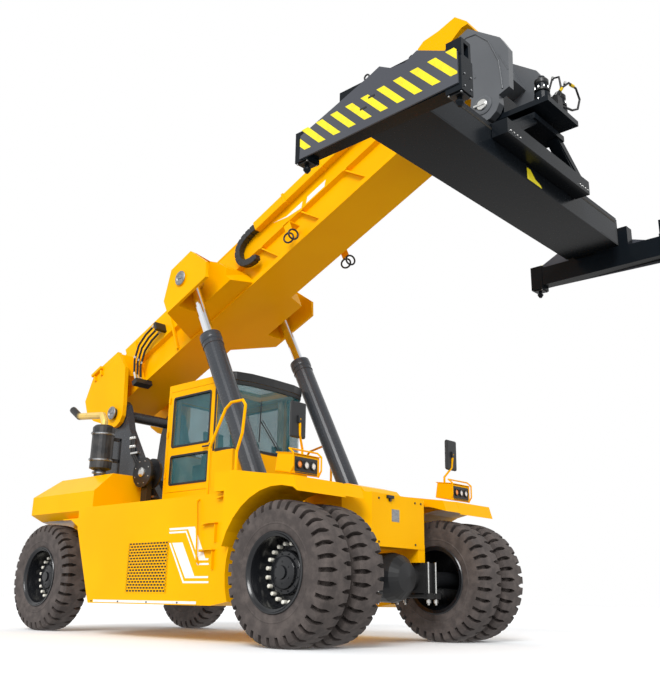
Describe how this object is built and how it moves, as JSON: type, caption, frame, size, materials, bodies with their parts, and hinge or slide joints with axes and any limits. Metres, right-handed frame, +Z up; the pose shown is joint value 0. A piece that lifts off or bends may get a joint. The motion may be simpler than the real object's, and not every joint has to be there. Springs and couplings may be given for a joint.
{
  "type": "reach stacker container handler",
  "caption": "Container-handling truck with a telescopic lifting boom, twin front tyres, steered rear wheels, a centre cab and a rotating, extending top spreader.",
  "frame": {"origin": "on the ground, below the middle of the machine as it stands with its boom raised", "axes": "+X forward, +Y to the left as the driver sits, +Z up"},
  "size_m": [10.7846, 6.1136, 9.0555],
  "materials": {
    "yellow_paint": "gloss yellow paint on steel",
    "slate_paint": "satin dark slate paint on steel",
    "black_paint": "satin black paint on steel",
    "grey_metal": "grey heat-proof paint",
    "chrome_rod": "hard chrome, ground and polished",
    "tyre_rubber": "worn industrial tyre rubber",
    "hose_rubber": "black hose rubber",
    "tinted_glass": "tinted safety glass",
    "seat_fabric": "dark woven seat cloth",
    "dark_plastic": "grained dark plastic",
    "engine_iron": "plain block"
  },
  "bodies": {
    "chassis": {"frame_rails": "yellow_paint", "front_housing": "yellow_paint", "side_body_right": "yellow_paint", "side_body_left": "yellow_paint", "fender_right": "yellow_paint", "fender_left": "yellow_paint", "counterweight": "yellow_paint", "boom_tower": "slate_paint", "engine": "engine_iron", "deck": "yellow_paint", "front_axle": "black_paint", "rear_axle": "black_paint", "muffler": "grey_metal", "hose_reel": "black_paint", "cab_base": "yellow_paint", "cab_rear_wall": "yellow_paint", "cab_rear_glass": "tinted_glass", "cab_left_wall": "yellow_paint", "cab_left_glass": "tinted_glass", "cab_right_wall": "yellow_paint", "cab_roof": "yellow_paint", "cab_roof_glass": "tinted_glass", "windscreen": "tinted_glass", "seat": "seat_fabric", "steering_column": "dark_plastic", "mirror_post_right": "yellow_paint", "mirror_post_left": "yellow_paint", "handrail_right": "yellow_paint", "handrail_left": "yellow_paint"},
    "door": {"cab_door": "yellow_paint", "door_glass_upper": "tinted_glass", "door_glass_lower": "tinted_glass"},
    "boom_outer": {"boom_outer": "yellow_paint", "boom_hoses": "hose_rubber"},
    "boom_inner": {"boom_inner": "yellow_paint", "gooseneck": "slate_paint"},
    "head": {"head_yoke": "slate_paint", "spreader_hoses": "hose_rubber"},
    "rotator": {"rotator_frame": "slate_paint"},
    "beam": {"main_beam": "slate_paint"},
    "front_wheel_right": {"front_rim_right": "black_paint", "front_tyre_right_outer": "tyre_rubber", "front_tyre_right_inner": "tyre_rubber"},
    "knuckle_right": {"knuckle_right": "black_paint"},
    "rear_wheel_right": {"rear_rim_right": "black_paint", "rear_tyre_right": "tyre_rubber"},
    "lift_barrel_right": {"lift_barrel_right": "slate_paint"},
    "lift_rod_right": {"lift_rod_right": "chrome_rod"},
    "end_beam_right": {"end_beam_right": "slate_paint", "striped_plate_right": "slate_paint"},
    "front_wheel_left": {"front_rim_left": "black_paint", "front_tyre_left_outer": "tyre_rubber", "front_tyre_left_inner": "tyre_rubber"},
    "knuckle_left": {"knuckle_left": "black_paint"},
    "rear_wheel_left": {"rear_rim_left": "black_paint", "rear_tyre_left": "tyre_rubber"},
    "lift_barrel_left": {"lift_barrel_left": "slate_paint"},
    "lift_rod_left": {"lift_rod_left": "chrome_rod"},
    "end_beam_left": {"end_beam_left": "slate_paint", "striped_plate_left": "slate_paint"}
  },
  "joints": [
    {"name": "front_wheel_right_spin", "type": "hinge", "parent": "chassis", "child": "front_wheel_right", "pos_m": [1.95775, -1.68, 0.88], "axis": [0, 1, 0], "continuous": true},
    {"name": "front_wheel_left_spin", "type": "hinge", "parent": "chassis", "child": "front_wheel_left", "pos_m": [1.95775, 1.68, 0.88], "axis": [0, 1, 0], "continuous": true},
    {"name": "steer_right", "type": "hinge", "parent": "chassis", "child": "knuckle_right", "pos_m": [-4.24225, -1.1, 0.88], "axis": [0, 0, 1], "range_deg": [-45, 45]},
    {"name": "steer_left", "type": "hinge", "parent": "chassis", "child": "knuckle_left", "pos_m": [-4.24225, 1.1, 0.88], "axis": [0, 0, 1], "range_deg": [-45, 45]},
    {"name": "rear_wheel_right_spin", "type": "hinge", "parent": "knuckle_right", "child": "rear_wheel_right", "pos_m": [-4.24225, -1.6, 0.88], "axis": [0, 1, 0], "continuous": true},
    {"name": "rear_wheel_left_spin", "type": "hinge", "parent": "knuckle_left", "child": "rear_wheel_left", "pos_m": [-4.24225, 1.6, 0.88], "axis": [0, 1, 0], "continuous": true},
    {"name": "door_hinge", "type": "hinge", "parent": "chassis", "child": "door", "pos_m": [-2.17625, -0.85, 3.1], "axis": [0, 0, -1], "range_deg": [0, 90]},
    {"name": "boom_lift", "type": "hinge", "parent": "chassis", "child": "boom_outer", "pos_m": [-3.99225, 0, 3.88], "axis": [0, -1, 0], "range_deg": [-20.9, 34.6]},
    {"name": "telescope", "type": "slide", "parent": "boom_outer", "child": "boom_inner", "axis": [-0.9178, 0, -0.3971], "range_m": [-6.2, 0]},
    {"name": "lift_barrel_right_foot", "type": "hinge", "parent": "chassis", "child": "lift_barrel_right", "pos_m": [0.80775, -1.07, 1.35], "axis": [0, -1, 0], "range_deg": [-4, 6.2]},
    {"name": "lift_rod_right_stroke", "type": "slide", "parent": "lift_barrel_right", "child": "lift_rod_right", "axis": [-0.4598, 0, 0.888], "range_m": [-1.1, 1.8]},
    {"name": "lift_barrel_left_foot", "type": "hinge", "parent": "chassis", "child": "lift_barrel_left", "pos_m": [0.80775, 1.07, 1.35], "axis": [0, -1, 0], "range_deg": [-4, 6.2]},
    {"name": "lift_rod_left_stroke", "type": "slide", "parent": "lift_barrel_left", "child": "lift_rod_left", "axis": [-0.4598, 0, 0.888], "range_m": [-1.1, 1.8]},
    {"name": "spreader_level", "type": "hinge", "parent": "boom_inner", "child": "head", "pos_m": [4.15775, 0, 7.25], "axis": [0, -1, 0], "range_deg": [-34.7, 21]},
    {"name": "rotator_turn", "type": "hinge", "parent": "head", "child": "rotator", "pos_m": [4.15775, 0, 6.93], "axis": [0, 0, 1], "range_deg": [-105, 195]},
    {"name": "side_shift", "type": "slide", "parent": "rotator", "child": "beam", "axis": [0, 1, 0], "range_m": [-0.8, 0.8]},
    {"name": "extend_right", "type": "slide", "parent": "beam", "child": "end_beam_right", "axis": [0, -1, 0], "range_m": [0, 3.066]},
    {"name": "extend_left", "type": "slide", "parent": "beam", "child": "end_beam_left", "axis": [0, 1, 0], "range_m": [0, 3.066]}
  ],
  "couplings": [
    {"joint": "steer_left", "follows": "steer_right", "ratio": 1},
    {"joint": "spreader_level", "follows": "boom_lift", "ratio": -1},
    {"joint": "extend_left", "follows": "extend_right", "ratio": 1},
    {"joint": "lift_barrel_right_foot", "follows": "boom_lift", "ratio": 0.17},
    {"joint": "lift_rod_right_stroke", "follows": "boom_lift", "m_per_rad": 2.95},
    {"joint": "lift_barrel_left_foot", "follows": "boom_lift", "ratio": 0.17},
    {"joint": "lift_rod_left_stroke", "follows": "boom_lift", "m_per_rad": 2.95}
  ]
}
